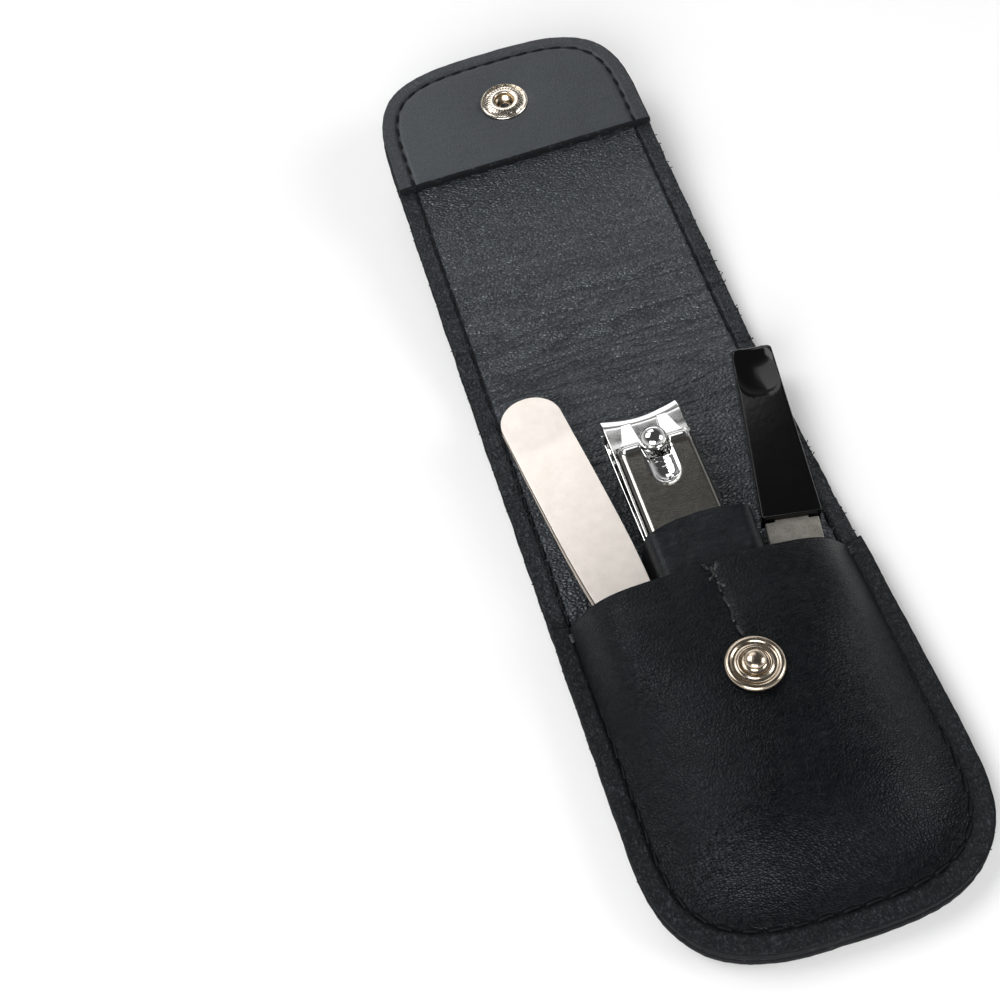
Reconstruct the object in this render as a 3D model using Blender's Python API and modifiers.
"""A leather manicure set case, lying open: folding flap, press stud and three tools in its pockets.

X runs across the case, Y from the closed pocket end towards the flap, Z up from the table.
The origin lies on the resting face of the back panel, under the press stud.
"""

import math

import bmesh
import bpy
from mathutils import Vector

# Clearances, in metres
clearance = 0.0003
cut_overrun = 0.002
merge_distance = 0.00001

# Leather strip and its lining
case_width = 0.058
outer_thickness = 0.0018
lining_thickness = 0.0011
edge_rounding = 0.0004
pocket_end = 0.0427
pocket_end_height = 0.0262
pocket_end_exponent = 3.03
flap_end_height = 0.0263
flap_end_exponent = 3.29
lining_inset = 0.0004

# Fold of the flap: two creases with the spine between them, as turns in degrees from flat
fold_start = 0.0697
open_rise = 7.5
closed_slope = 1.0

# Flap facing with its straight ledge
facing_thickness = 0.0016
ledge_to_socket = 0.0165
socket_to_flap_end = 0.0165

# Front pocket
pocket_leather = 0.0015
pocket_mouth = 0.0210
seam_margin = 0.0044
crown_height = 0.0090
crown_run = 0.0036
crown_power = 1.3
crown_taper_share = 0.30

# Clipper pocket behind the front pocket
loop_leather = 0.0010
loop_side_room = 0.0023
loop_flare = 0.0029
loop_foot = 0.0012
loop_bottom = 0.0010
loop_mouth = 0.0300
loop_arch = 0.0022
loop_wall_run = 0.0007
loop_wall_power = 1.6
loop_bottom_height = 0.0060
loop_top_height = 0.0084

# Press stud and its eyelet
stud_radius = 0.0050
stud_flange = 0.0006
stud_ring_height = 0.0003
stud_neck_radius = 0.0015
stud_ball_radius = 0.00185
stud_height = 0.0028
stud_bore_radius = 0.0010
stud_bore_depth = 0.0016
stud_rim_shares = (
    (0.34, 0.0), (0.44, 0.0), (0.50, 1.0), (0.58, 1.0), (0.64, 0.0),
    (0.74, 0.0), (0.80, 1.0), (0.90, 1.0), (0.97, 0.4), (1.0, -0.6),
)
ball_sweep_share = 0.82
eyelet_radius = 0.0040
eyelet_thickness = 0.0005

# Socket, ring spring and hidden cap in the flap
socket_radius = 0.0053
socket_lip = 0.0004
socket_mouth_radius = 0.00225
socket_cup_radius = 0.0032
socket_cavity_radius = 0.0027
socket_wall = 0.0004
ring_spring_radius = 0.00216
ring_spring_wire = 0.00020
ring_spring_depth = 0.00075
cap_radius = 0.0045
cap_thickness = 0.0005

# Tweezers
tweezer_length = 0.0820
tweezer_side_room = 0.0071
tweezer_stem_share = 0.84
tweezer_weld = 0.0120
tweezer_steel = 0.0010
tweezer_mid_spread = 0.0005
tweezer_tip_spread = 0.0007
tweezer_slant = 0.0012
tweezer_head_y = 0.0706
tweezer_head_z = 0.0089
tweezer_lean = 5.8
tweezer_tilt = 1.6
tweezer_width_shares = ((0.0, 1.0), (0.30, 1.0), (0.52, 0.93), (0.75, 0.66), (0.93, 0.36), (1.0, 0.31))
tweezer_end_share = 0.12
tweezer_edge_share = 0.2

# Nail clipper
clipper_length = 0.0550
clipper_width = 0.0152
jaw_steel = 0.0011
jaw_spread = 0.0020
edge_opening = 0.0025
edge_hollow = 0.0010
rivet_inset = 0.0040
rivet_radius = 0.0010
rivet_head_radius = 0.0019
rivet_head = 0.0004
rivet_crown_share = 0.7
post_inset = 0.0092
post_radius = 0.0017
post_clearance = 0.0005
post_foot_radius = 0.0026
post_foot_share = 0.8
post_neck_radius = 0.0014
post_head_radius = 0.0026
post_head_height = 0.0023
clipper_tail = 0.0045
jaw_bow_shares = ((0.0, 0.0), (0.08, 0.0), (0.22, 0.10), (0.45, 0.45), (0.68, 0.82), (0.82, 1.0), (0.90, 1.0))
jaw_lip_share = 0.90
jaw_lip_power = 1.6

# Lever of the clipper
lever_steel = 0.0008
lever_width = 0.0134
lever_fold = 0.0011
lever_rear_inset = 0.0062
lever_front_inset = 0.0050
lever_trough_run = 0.0062
lever_trough_radius = 0.0028
lever_trough_depth = 0.0010
lever_slot_width = 0.0042
lever_ridge_setback = 0.0006
lever_ridge_height = 0.0005
lever_ridge_half = 0.0008
lever_nose_drop = 0.0010
lever_nose_power = 1.5
lever_front_run = 0.0140
lever_half_shares = ((0.14, 0.0), (0.28, 0.0), (0.42, 0.0), (0.50, 0.0), (0.82, 0.0), (0.97, 0.45), (1.0, 1.0))
lever_ridge_share = 0.46

# Nail file
file_top_y = 0.0675
file_top_z = 0.0079
file_side_room = 0.0066
file_wall_overlap = 0.0007
file_lean = 10.7
file_tilt = 2.6
handle_length = 0.0392
handle_shoulder = 0.0006
handle_taper_share = 0.704
handle_thickness = 0.0040
handle_top_thickness = 0.0034
handle_rounding = 0.0008
thumb_setback = 0.0018
thumb_length = 0.0216
thumb_width_share = 1.6
thumb_depth = 0.0010
blade_length = 0.0400
blade_thickness = 0.0009
blade_tip_share = 0.3125
blade_straight = 0.0085
tang_length = 0.0110
tang_width_share = 0.625
blade_edge_share = 0.17

# Facets
end_steps = 24
turned_steps = 24
ball_steps = 7
wire_steps = 8
post_head_steps = 5
pocket_columns = 40
pocket_rows = 24
loop_columns = 24
loop_rows = 8
tweezer_columns = 4
tweezer_head_rows = 6
tweezer_body_rows = 12
jaw_columns = 8
jaw_rows = 22
lever_rear_rows = 10
lever_front_rows = 22
thumb_columns = 24
thumb_rows = 14
smooth_angle = 35
bevel_angle = 50

# Heights that follow from the sizes above
lining_top = outer_thickness + clearance + lining_thickness
facing_lift = clearance + facing_thickness
half_width = case_width / 2

# Widths that share out the case: the loop for the clipper, the tweezers and the file beside it
loop_left = clipper_width / 2 + loop_side_room
loop_right_foot = loop_left
loop_right = loop_right_foot + loop_flare
tweezer_head_radius = (half_width - loop_left - tweezer_side_room) / 2
blade_width = half_width - loop_right - file_side_room
handle_foot_width = blade_width + 2 * handle_shoulder
handle_top_width = handle_foot_width * handle_taper_share
thumb_width = handle_top_width * thumb_width_share
tang_width = blade_width * tang_width_share


def new_collection(name):
    """Make a collection in the scene."""
    collection = bpy.data.collections.new(name)
    bpy.context.scene.collection.children.link(collection)
    return collection


def new_material(name, colour, roughness, metallic=0.0):
    """Make a Principled material."""
    material = bpy.data.materials.new(name)
    material.use_nodes = True
    shader = material.node_tree.nodes["Principled BSDF"]
    shader.inputs["Base Color"].default_value = (*colour, 1.0)
    shader.inputs["Roughness"].default_value = roughness
    shader.inputs["Metallic"].default_value = metallic
    return material


def new_frame(name, place, turn=(0, 0, 0), parent=None):
    """Make an empty that carries the pieces of one moving body."""
    frame = bpy.data.objects.new(name, None)
    frame.empty_display_size = stud_radius
    frame.location = place
    frame.rotation_euler = turn
    frame.parent = parent
    parts.objects.link(frame)
    return frame


def add_object(name, mesh, material=None, place=(0, 0, 0), parent=None, cutter=False):
    """Link a mesh as a part, or as a hidden cutter."""
    thing = bpy.data.objects.new(name, mesh)
    thing.location = place
    thing.parent = parent
    if cutter:
        cutters.objects.link(thing)
        thing.hide_render = True
        thing.display_type = "WIRE"
    else:
        parts.objects.link(thing)
        mesh.materials.append(material)
    return thing


def cut(thing, cutter):
    """Take a cutter's shape out of a part."""
    step = thing.modifiers.new("Cut by " + cutter.name, "BOOLEAN")
    step.operation = "DIFFERENCE"
    step.solver = "EXACT"
    step.object = cutter


def round_edges(thing, width, segments=2):
    """Round the sharp edges of a part."""
    step = thing.modifiers.new("Rounded edges", "BEVEL")
    step.width = width
    step.segments = segments
    step.limit_method = "ANGLE"
    step.angle_limit = math.radians(bevel_angle)


def shade_round(mesh):
    """Shade a round piece smooth, with its sharp edges kept."""
    mesh.shade_smooth()
    mesh.set_sharp_from_angle(angle=math.radians(smooth_angle))


def through(keys, share):
    """Read a smooth curve through (share, value) keys."""
    last = len(keys) - 1
    index = 0
    while index < last - 1 and share > keys[index + 1][0]:
        index += 1
    before, start, end, after = (keys[min(max(index + step, 0), last)] for step in (-1, 0, 1, 2))
    span = end[0] - start[0]
    t = (share - start[0]) / span
    rise = (end[1] - before[1]) / (end[0] - before[0]) * span
    fall = (after[1] - start[1]) / (after[0] - start[0]) * span
    t2 = t * t
    t3 = t2 * t
    start_part = (2 * t3 - 3 * t2 + 1) * start[1] + (t3 - 2 * t2 + t) * rise
    return start_part + (3 * t2 - 2 * t3) * end[1] + (t3 - t2) * fall


def circle(radius, centre=(0, 0), steps=turned_steps):
    """Points round a circle."""
    angles = [2 * math.pi * step / steps for step in range(steps)]
    return [(centre[0] + radius * math.cos(a), centre[1] + radius * math.sin(a)) for a in angles]


def leather_end(width, height, exponent, steps=end_steps):
    """Points round a leather end as a superellipse, from +X over its tip at -height to -X."""
    points = []
    for step in range(steps + 1):
        angle = math.pi * step / steps
        across = math.copysign(abs(math.cos(angle)) ** (2 / exponent), math.cos(angle))
        along = math.sin(angle) ** (2 / exponent) if 0 < step < steps else 0
        points.append((width / 2 * across, -height * along))
    return points


def plate(name, outlines, thickness, base, material, parent=None):
    """Make a flat plate from an outline and its holes, standing on the height base."""
    curve = bpy.data.curves.new(name, "CURVE")
    curve.dimensions = "2D"
    curve.fill_mode = "BOTH"
    curve.extrude = thickness / 2
    for outline in outlines:
        spline = curve.splines.new("POLY")
        spline.points.add(len(outline) - 1)
        for point, (x, y) in zip(spline.points, outline):
            point.co = (x, y, 0, 1)
        spline.use_cyclic_u = True
    drawn = bpy.data.objects.new(name + "_drawn", curve)
    cutters.objects.link(drawn)
    bpy.context.view_layer.update()
    mesh = bpy.data.meshes.new_from_object(drawn.evaluated_get(bpy.context.evaluated_depsgraph_get()))
    mesh.name = name
    bpy.data.objects.remove(drawn)
    shape = bmesh.new()
    shape.from_mesh(mesh)
    bmesh.ops.remove_doubles(shape, verts=shape.verts, dist=merge_distance)
    shape.to_mesh(mesh)
    shape.free()
    return add_object(name, mesh, material, (0, 0, base + thickness / 2), parent)


def sheet(name, columns, rows, place, thickness, material, parent=None, offset=1):
    """Make a bent sheet: a grid whose points place(u, v) puts in space, thickened by Solidify."""
    mesh = bpy.data.meshes.new(name)
    shape = bmesh.new()
    bmesh.ops.create_grid(shape, x_segments=columns, y_segments=rows, size=0.5)
    for vert in shape.verts:
        vert.co = place(vert.co.x + 0.5, vert.co.y + 0.5)
    shape.to_mesh(mesh)
    shape.free()
    shade_round(mesh)
    thing = add_object(name, mesh, material, parent=parent)
    step = thing.modifiers.new("Thickness", "SOLIDIFY")
    step.thickness = thickness
    step.offset = offset
    step.use_even_offset = True
    return thing


def turned(name, profile, material=None, place=(0, 0, 0), parent=None, closed=False, cutter=False):
    """Turn a profile of (radius, height) points about the Z axis."""
    mesh = bpy.data.meshes.new(name)
    shape = bmesh.new()
    verts = [shape.verts.new((radius, 0, height)) for radius, height in profile]
    for first, second in zip(verts, verts[1:]):
        shape.edges.new((first, second))
    if closed:
        shape.edges.new((verts[-1], verts[0]))
    shape.to_mesh(mesh)
    shape.free()
    thing = add_object(name, mesh, material, place, parent, cutter)
    step = thing.modifiers.new("Turned", "SCREW")
    step.steps = turned_steps
    step.render_steps = turned_steps
    step.use_smooth_shade = True
    step.use_merge_vertices = True
    step.merge_threshold = merge_distance
    return thing


def cylinder(name, radius, depth, place, parent=None, turn=(0, 0, 0)):
    """Make a round cutter, centred on place."""
    mesh = bpy.data.meshes.new(name)
    shape = bmesh.new()
    bmesh.ops.create_cone(
        shape, cap_ends=True, segments=turned_steps, radius1=radius, radius2=radius, depth=depth
    )
    shape.to_mesh(mesh)
    shape.free()
    thing = add_object(name, mesh, place=place, parent=parent, cutter=True)
    thing.rotation_euler = turn
    return thing


def block(name, size, place, parent=None):
    """Make a rectangular cutter, centred on place."""
    mesh = bpy.data.meshes.new(name)
    shape = bmesh.new()
    bmesh.ops.create_cube(shape, size=1)
    bmesh.ops.scale(shape, vec=size, verts=shape.verts)
    shape.to_mesh(mesh)
    shape.free()
    return add_object(name, mesh, place=place, parent=parent, cutter=True)


def edge_distance(x, y):
    """Distance of a point on the pocket from its sewn edge, measured inwards."""
    across = abs(x) / half_width
    below = max(0, pocket_end_height - pocket_end - y) / pocket_end_height
    reach = (across**pocket_end_exponent + below**pocket_end_exponent) ** (1 / pocket_end_exponent)
    return (1 - min(reach, 1)) * half_width


def crown(x, y):
    """Rise of the front pocket's inner face above the lining, beyond the seam."""
    inside = max(0, edge_distance(x, y) - seam_margin)
    down = (pocket_mouth - y) / (pocket_mouth + pocket_end)
    height = crown_height * (1 - crown_taper_share * (down**2))
    return height * (1 - math.exp(-((inside / crown_run) ** crown_power)))


def pocket_point(u, v):
    """Point of the front pocket's inner face. Columns run from the sewn end to the mouth."""
    angle = math.pi * (1 - u)
    across = math.copysign(abs(math.cos(angle)) ** (2 / pocket_end_exponent), math.cos(angle))
    along = abs(math.sin(angle)) ** (2 / pocket_end_exponent)
    x = half_width * across
    end_y = pocket_end_height - pocket_end - pocket_end_height * along
    y = end_y + (pocket_mouth - end_y) * v
    return Vector((x, y, lining_top + clearance + crown(x, y)))


# Height of the pocket's outer face at the stud
stud_seat = lining_top + clearance + crown(0, 0) + pocket_leather

# Each crease stands for an even bend as long as the spine. Its axis lies above the lining by a share
# of that length, which carries the flap to the same place as the bend. The spine's length is what
# brings the socket down on the stud.
slope = math.radians(closed_slope)
crease_turn = (math.pi + slope) / 2
lift_share = 1 / crease_turn - 1 / (2 * math.tan(crease_turn / 2))
snap_stack = facing_lift + socket_lip + stud_flange + stud_ring_height + 3 * clearance
spine_rise_share = math.sin(crease_turn) * math.cos(slope) - math.cos(crease_turn) * math.sin(slope)
spine_length = (
    snap_stack + fold_start * math.sin(slope) + (stud_seat - lining_top) * math.cos(slope)
) / (spine_rise_share + lift_share * (1 + math.cos(slope)))
crease_lift = lift_share * spine_length
crease_height = lining_top + crease_lift
closed_crease_y = fold_start + spine_length * math.cos(crease_turn)
closed_crease_z = crease_height + spine_length * math.sin(crease_turn)
socket_run = closed_crease_y * math.cos(slope) + (closed_crease_z - stud_seat) * math.sin(slope)
flap_length = socket_run + socket_to_flap_end


def crease_edges(near, far):
    """Straight sides of a strip between two places along it."""
    return [(half_width, near), (half_width, far), (-half_width, far), (-half_width, near)]


def shrink(outline, inset):
    """Draw an outline in at its sides, for a lining that stops short of the edge."""
    share = (half_width - inset) / half_width
    return [(x * share, y) for x, y in outline]


def make_back():
    """Back panel: the outer leather and the lining sewn on it."""
    end = leather_end(case_width, pocket_end_height, pocket_end_exponent)
    shift = pocket_end_height - pocket_end
    outline = [(x, y + shift) for x, y in end]
    outline += [(-half_width, fold_start - clearance / 2), (half_width, fold_start - clearance / 2)]
    back = plate("back_leather", [outline], outer_thickness, 0, black_leather)
    round_edges(back, edge_rounding)
    lining = plate(
        "back_lining", [shrink(outline, lining_inset)], lining_thickness,
        outer_thickness + clearance, lining_leather,
    )
    round_edges(lining, edge_rounding / 2, 1)


def make_spine():
    """Spine between the two creases. Returns the frame on the second crease."""
    turn = (math.radians(open_rise) / 2, 0, 0)
    frame = new_frame("crease_1", (0, fold_start, crease_height), turn)
    outline = crease_edges(clearance / 2, spine_length - clearance / 2)
    plate("spine_leather", [outline], outer_thickness, -crease_height, black_leather, frame)
    inner = shrink(outline, lining_inset)
    base = -crease_lift - lining_thickness
    plate("spine_lining", [inner], lining_thickness, base, lining_leather, frame)
    return new_frame("crease_2", (0, spine_length, 0), turn, frame)


def make_flap(frame):
    """Flap: outer leather, lining and the facing with its straight ledge."""
    end = leather_end(case_width, flap_end_height, flap_end_exponent)
    tip = [(x, flap_length - flap_end_height - y) for x, y in end]
    outline = tip + [(-half_width, clearance / 2), (half_width, clearance / 2)]
    flap = plate("flap_leather", [outline], outer_thickness, -crease_height, black_leather, frame)
    round_edges(flap, edge_rounding)
    under_cap = circle(cap_radius + clearance, (0, socket_run))
    lining = plate(
        "flap_lining", [shrink(outline, lining_inset), under_cap], lining_thickness,
        -crease_lift - lining_thickness, lining_leather, frame,
    )
    round_edges(lining, edge_rounding / 2, 1)
    ledge = socket_run - ledge_to_socket
    side = half_width - lining_inset
    facing_outline = shrink(tip, lining_inset) + [(-side, ledge), (side, ledge)]
    cup_hole = circle(socket_cup_radius + clearance, (0, socket_run))
    facing = plate(
        "flap_facing", [facing_outline, cup_hole], facing_thickness, clearance - crease_lift,
        lining_leather, frame,
    )
    round_edges(facing, edge_rounding)


def make_front_pocket():
    """Front pocket: crowned leather sewn round three sides, open at a straight mouth."""
    pocket = sheet(
        "front_pocket", pocket_columns, pocket_rows, pocket_point, pocket_leather, pocket_hide
    )
    hole = cylinder(
        "stud_hole", stud_bore_radius + clearance, 2 * (pocket_leather + cut_overrun), (0, 0, stud_seat)
    )
    hole.rotation_euler = (slope, 0, 0)
    cut(pocket, hole)


def loop_point(u, v):
    """Point of the clipper pocket's inner face: a loop of leather with a foot on each side."""
    right = loop_right_foot + (loop_right - loop_right_foot) * v
    x = -loop_left + (right + loop_left) * u
    from_side = min(x + loop_left, right - x) - loop_foot
    bow = 1 - math.exp(-((max(0, from_side) / loop_wall_run) ** loop_wall_power))
    height = loop_bottom_height + (loop_top_height - loop_bottom_height) * v
    middle = (2 * u - 1) ** 2
    y = loop_bottom + (loop_mouth + loop_arch * (1 - middle) - loop_bottom) * v
    return Vector((x, y, lining_top + clearance + height * bow))


def make_clipper_pocket():
    """Loop of leather that holds the clipper, standing out of the front pocket's mouth."""
    sheet("clipper_pocket", loop_columns, loop_rows, loop_point, loop_leather, pocket_hide)


def make_stud():
    """Press stud on the pocket, with the eyelet that holds it from behind."""
    frame = new_frame("stud_frame", (0, 0, stud_seat), (slope, 0, 0))
    base = clearance
    top = base + stud_flange
    neck = top + stud_ring_height
    ball_middle = (neck + base + stud_height) / 2
    ball_half = base + stud_height - ball_middle
    ball = []
    for step in range(ball_steps + 1):
        angle = math.pi * (1 / 2 - ball_sweep_share * step / ball_steps)
        ball.append((stud_ball_radius * math.cos(angle), ball_middle + ball_half * math.sin(angle)))
    ball[0] = (0, base + stud_height)
    rim = [(stud_radius * share, top + stud_ring_height * rise) for share, rise in stud_rim_shares]
    foot = [
        (stud_radius - edge_rounding, base),
        (stud_bore_radius, base),
        (stud_bore_radius, base + stud_bore_depth),
        (0, base + stud_bore_depth),
    ]
    turned("snap_stud", ball + [(stud_neck_radius, neck)] + rim + foot, nickel, parent=frame)
    post = stud_bore_radius - clearance
    under = -pocket_leather - clearance
    eyelet = [
        (0, base + stud_bore_depth - clearance),
        (post, base + stud_bore_depth - clearance),
        (post, under),
        (eyelet_radius, under),
        (eyelet_radius, under - eyelet_thickness),
        (0, under - eyelet_thickness),
    ]
    turned("snap_stud_eyelet", eyelet, nickel, parent=frame)


def make_socket(frame):
    """Socket, ring spring and hidden cap, on the flap's facing."""
    place = (0, socket_run, -crease_lift)
    face = facing_lift + socket_lip + clearance
    seat = facing_lift + clearance
    cup_base = cap_thickness + clearance - lining_thickness
    floor = cup_base + socket_wall
    profile = [
        (socket_mouth_radius, face),
        (socket_radius - edge_rounding, face),
        (socket_radius, (face + seat) / 2),
        (socket_radius - edge_rounding / 2, seat),
        (socket_cup_radius, seat),
        (socket_cup_radius, cup_base),
        (stud_bore_radius, cup_base),
        (stud_bore_radius, floor),
        (socket_cavity_radius, floor),
        (socket_cavity_radius, face - socket_wall),
        (socket_mouth_radius, face - socket_wall),
    ]
    turned("snap_socket", profile, nickel, place, frame, closed=True)
    wire = [
        (ring_spring_radius + x, face - ring_spring_depth - z)
        for x, z in circle(ring_spring_wire, steps=wire_steps)
    ]
    turned("snap_ring_spring", wire, nickel, place, frame, closed=True)
    boss = stud_bore_radius - clearance
    cap_top = cap_thickness - lining_thickness
    cap = [
        (0, floor), (boss, floor), (boss, cap_top), (cap_radius, cap_top),
        (cap_radius, -lining_thickness), (0, -lining_thickness),
    ]
    turned("snap_cap", cap, nickel, place, frame)


def tweezer_outline(along):
    """Distance from the head's end and half width, at a share of the length from the tip."""
    distance = tweezer_length * (1 - along)
    head = min(distance / tweezer_head_radius, 1)
    rounding = math.sqrt(max(0, 1 - (1 - head) ** 2))
    share = through(tweezer_width_shares, distance / tweezer_length)
    return distance, tweezer_head_radius * share * rounding


def make_tweezers(frame):
    """Two sprung arms, welded at the head."""
    rows = tweezer_head_rows + tweezer_body_rows
    head_share = tweezer_head_radius / tweezer_length
    slim = (tweezer_steel + clearance) / 2

    def arm_point(side):
        def place(u, v):
            row = round(v * rows)
            if row <= tweezer_body_rows:
                along = (1 - head_share) * row / tweezer_body_rows
            else:
                step = (row - tweezer_body_rows) / tweezer_head_rows
                turn = math.pi / 2 * (1 - tweezer_end_share) * step
                along = 1 - head_share * (1 - math.sin(turn))
            distance, half = tweezer_outline(along)
            x = (2 * u - 1) * half
            open_run = max(0, distance - tweezer_weld) / (tweezer_length - tweezer_weld)
            bow = math.sin(math.pi * min(1, open_run))
            lift = slim + tweezer_mid_spread * bow + tweezer_tip_spread * open_run
            skew = tweezer_slant * (1 - min(1, along / head_share)) * (2 * u - 1)
            return Vector((x, tweezer_weld - distance + skew, side * lift))
        return place

    for name, side in (("tweezer_upper_arm", 1), ("tweezer_lower_arm", -1)):
        arm = sheet(
            name, tweezer_columns, rows, arm_point(side), tweezer_steel, steel, frame, offset=0
        )
        round_edges(arm, tweezer_steel * tweezer_edge_share, 1)


def jaw_height(share):
    """Height of the upper jaw's middle face above the clipper's middle plane."""
    pack = (jaw_steel + clearance) / 2
    if share <= jaw_lip_share:
        return pack + jaw_spread * through(jaw_bow_shares, share)
    edge = (edge_opening + jaw_steel) / 2
    t = (share - jaw_lip_share) / (1 - jaw_lip_share)
    full = pack + jaw_spread
    return full + (edge - full) * t**jaw_lip_power


def jaw_point(side):
    """Points of a jaw, bowed from the rivet to the cutting edge."""
    def place(u, v):
        across = 2 * u - 1
        lip = max(0, (v - jaw_lip_share) / (1 - jaw_lip_share))
        y = clipper_length * v - edge_hollow * (1 - across**2) * lip - rivet_inset
        return Vector((clipper_width / 2 * across, y, side * jaw_height(v)))
    return place


def jaw_top(y):
    """Height of the upper jaw's top face at a distance from the rivet."""
    share = (y + rivet_inset) / clipper_length
    return jaw_height(min(share, jaw_lip_share)) + jaw_steel / 2


def make_clipper(frame, upper_frame):
    """Two jaws on a rivet, the post through them and the lever over the upper jaw."""
    post_y = clipper_length - rivet_inset - post_inset
    post_hole = cylinder(
        "post_hole", post_radius + post_clearance, clipper_width, (0, post_y, 0), frame
    )
    rivet_hole = cylinder("rivet_hole", rivet_radius + clearance, clipper_width, (0, 0, 0), frame)
    for name, side, carrier in (("clipper_upper_jaw", 1, upper_frame), ("clipper_lower_jaw", -1, frame)):
        jaw = sheet(
            name, jaw_columns, jaw_rows, jaw_point(side), jaw_steel, chrome, carrier, offset=0
        )
        cut(jaw, post_hole)
        cut(jaw, rivet_hole)
    rivet_top = jaw_top(0) + clearance
    crown_radius = rivet_head_radius * rivet_crown_share
    half_rivet = [
        (0, rivet_top + rivet_head), (crown_radius, rivet_top + rivet_head),
        (rivet_head_radius, rivet_top), (rivet_radius, rivet_top),
    ]
    rivet = half_rivet + [(radius, -height) for radius, height in reversed(half_rivet)]
    turned("clipper_rivet", rivet, chrome, parent=frame)
    lever_top = jaw_top(post_y) + clearance + lever_fold + lever_steel
    neck = lever_top + clearance
    post_base = -jaw_top(post_y) - clearance
    head = []
    for step in range(post_head_steps + 1):
        angle = math.pi / 2 * (1 - step / post_head_steps)
        head.append((post_head_radius * math.cos(angle), neck + post_head_height * math.sin(angle)))
    head[0] = (0, neck + post_head_height)
    post = head + [
        (post_neck_radius, neck), (post_neck_radius, jaw_top(post_y) + clearance),
        (post_radius, jaw_top(post_y) + clearance), (post_radius, post_base),
        (post_foot_radius, post_base), (post_foot_radius * post_foot_share, post_base - rivet_head),
        (0, post_base - rivet_head),
    ]
    turned("clipper_post", post, chrome, (0, post_y, 0), frame)
    make_lever(upper_frame, post_y)


def make_lever(frame, post_y):
    """Lever: a folded channel with a trough, a slot for the post, and a ridge and nose on its prongs."""
    rear = lever_rear_inset - rivet_inset
    front = clipper_length - rivet_inset - lever_front_inset
    trough_end = post_y - lever_trough_run
    ridge_y = post_y - lever_ridge_setback
    half_section = list(lever_half_shares)
    section = [(-share, drop) for share, drop in reversed(half_section)] + [(0, 0)] + half_section
    columns = len(section) - 1
    rows = lever_rear_rows + lever_front_rows

    def place(u, v):
        across, fold_share = section[round(u * columns)]
        row = round(v * rows)
        x = lever_width / 2 * across
        if row <= lever_rear_rows:
            y = rear + (front - lever_front_run - rear) * row / lever_rear_rows
        else:
            y = front - lever_front_run * (rows - row) / lever_front_rows
        line = jaw_top(rear) + (jaw_top(post_y) - jaw_top(rear)) * (y - rear) / (post_y - rear)
        base = max(line, jaw_top(y)) + clearance + lever_fold
        near = math.hypot(x, min(0, y - trough_end)) / lever_trough_radius
        press = lever_trough_depth * max(0, 1 - near**2)
        nose = lever_nose_drop * (max(0, y - ridge_y) / (front - ridge_y)) ** lever_nose_power
        drop = max(lever_fold * fold_share, nose, press)
        ridge = 0
        if abs(across) > lever_ridge_share:
            ridge = lever_ridge_height * math.exp(-(((y - ridge_y) / lever_ridge_half) ** 2))
        return Vector((x, y, base - drop + ridge))

    lever = sheet("clipper_lever", columns, rows, place, lever_steel, chrome, frame)
    slot_length = front - post_y + cut_overrun
    slot_depth = clipper_width
    slot = block(
        "lever_slot", (lever_slot_width, slot_length, slot_depth),
        (0, post_y + slot_length / 2, slot_depth / 2 + jaw_steel), frame,
    )
    slot_end = cylinder(
        "lever_slot_end", lever_slot_width / 2, slot_depth, (0, post_y, slot_depth / 2 + jaw_steel), frame
    )
    cut(lever, slot)
    cut(lever, slot_end)


def make_file(frame):
    """Flat abrasive blade with its tang held in a tapered handle with a thumb hollow."""
    handle_mesh = bpy.data.meshes.new("file_handle")
    shape = bmesh.new()
    bmesh.ops.create_cube(shape, size=1)
    for vert in shape.verts:
        towards_top = vert.co.y + 0.5
        width = handle_foot_width + (handle_top_width - handle_foot_width) * towards_top
        deep = handle_thickness + (handle_top_thickness - handle_thickness) * towards_top
        vert.co = (vert.co.x * width, -handle_length * (1 - towards_top), vert.co.z * deep)
    shape.to_mesh(handle_mesh)
    shape.free()
    handle = add_object("file_handle", handle_mesh, black_plastic, parent=frame)
    round_edges(handle, handle_rounding, 3)
    thumb_mesh = bpy.data.meshes.new("thumb_hollow")
    shape = bmesh.new()
    bmesh.ops.create_uvsphere(shape, u_segments=thumb_columns, v_segments=thumb_rows, radius=1 / 2)
    thumb_size = (thumb_width, thumb_length, 4 * thumb_depth)
    bmesh.ops.scale(shape, vec=thumb_size, verts=shape.verts)
    shape.to_mesh(thumb_mesh)
    shape.free()
    share = thumb_setback / handle_length
    deep = handle_top_thickness + (handle_thickness - handle_top_thickness) * share
    thumb_place = (0, -thumb_setback, deep / 2 + thumb_depth)
    thumb = add_object("thumb_hollow", thumb_mesh, place=thumb_place, parent=frame, cutter=True)
    cut(handle, thumb)
    tang_depth = tang_length + clearance + cut_overrun
    tang_slot = block(
        "tang_slot",
        (tang_width + 2 * clearance, tang_depth, blade_thickness + 2 * clearance),
        (0, tang_depth / 2 - handle_length - cut_overrun, 0),
        frame,
    )
    cut(handle, tang_slot)
    foot = -handle_length - clearance
    tip = foot - blade_length
    half = blade_width / 2
    tip_half = half * blade_tip_share
    outline = [
        (tang_width / 2, tang_length - handle_length), (tang_width / 2, foot), (half, foot),
        (half, foot - blade_straight), (tip_half, tip + tip_half), (tip_half / 2, tip),
    ]
    outline += [(-x, y) for x, y in reversed(outline)]
    blade = plate("file_blade", [outline], blade_thickness, -blade_thickness / 2, sapphire, frame)
    round_edges(blade, blade_thickness * blade_edge_share, 1)


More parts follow.
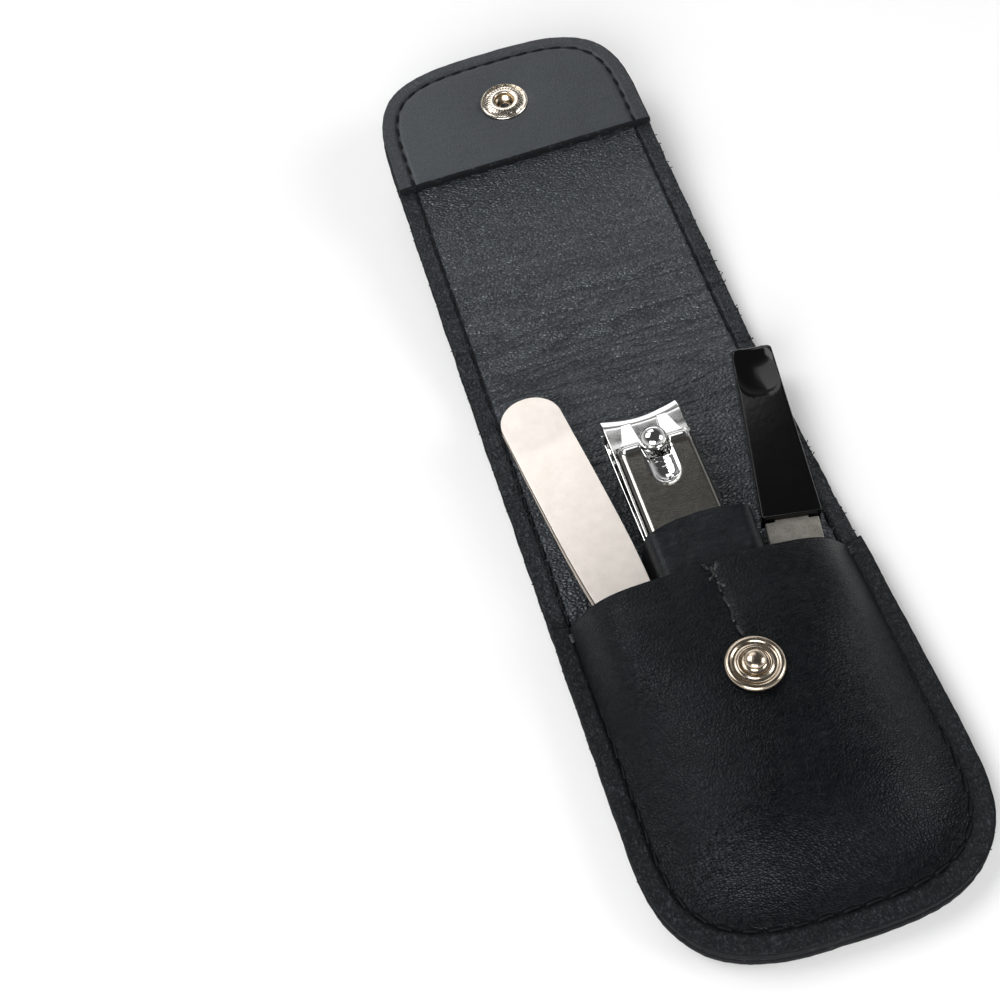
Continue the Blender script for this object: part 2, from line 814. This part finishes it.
def tool_turn(tilt, lean):
    """Rotation of a tool that tilts up towards its head and leans to the right."""
    return (math.radians(tilt), 0, -math.radians(lean))


def make_tools():
    """Place the three tools in their pockets."""
    head_run = (tweezer_head_y - pocket_mouth) * math.tan(math.radians(tweezer_lean))
    head_x = -loop_left - head_run - tweezer_stem_share * tweezer_head_radius
    tweezers = new_frame(
        "tweezers_head", (head_x, tweezer_head_y, tweezer_head_z), tool_turn(tweezer_tilt, -tweezer_lean)
    )
    weld = new_frame("tweezers_weld", (0, -tweezer_weld, 0), parent=tweezers)
    make_tweezers(weld)
    rest = lining_top + 2 * clearance + rivet_head + jaw_top(0)
    post_y = clipper_length - rivet_inset - post_inset
    tilt = math.asin((jaw_top(post_y) - jaw_top(0)) / post_y)
    clipper = new_frame("clipper_frame", (0, clipper_tail + rivet_inset, rest), (tilt, 0, 0))
    upper = new_frame("clipper_upper_frame", (0, 0, 0), parent=clipper)
    make_clipper(clipper, upper)
    top_run = (file_top_y - pocket_mouth) * math.tan(math.radians(file_lean))
    top_x = loop_right - file_wall_overlap + top_run + blade_width / 2
    make_file(new_frame("file_frame", (top_x, file_top_y, file_top_z), tool_turn(file_tilt, file_lean)))


for old in list(bpy.data.objects):
    bpy.data.objects.remove(old)

parts = new_collection("Manicure set case")
cutters = new_collection("Cutters")

black_leather = new_material("Black leather", (0.011, 0.012, 0.015), 0.5)
lining_leather = new_material("Lining leather", (0.020, 0.022, 0.026), 0.55)
pocket_hide = new_material("Pocket leather", (0.013, 0.014, 0.017), 0.48)
nickel = new_material("Nickel", (0.72, 0.66, 0.58), 0.22, 1.0)
steel = new_material("Satin steel", (0.80, 0.76, 0.73), 0.35, 1.0)
chrome = new_material("Polished chrome", (0.70, 0.70, 0.70), 0.08, 1.0)
sapphire = new_material("Sapphire grit", (0.33, 0.31, 0.29), 0.65, 0.3)
black_plastic = new_material("Black plastic", (0.010, 0.010, 0.011), 0.2)

make_back()
flap_frame = make_spine()
make_flap(flap_frame)
make_front_pocket()
make_clipper_pocket()
make_stud()
make_socket(flap_frame)
make_tools()
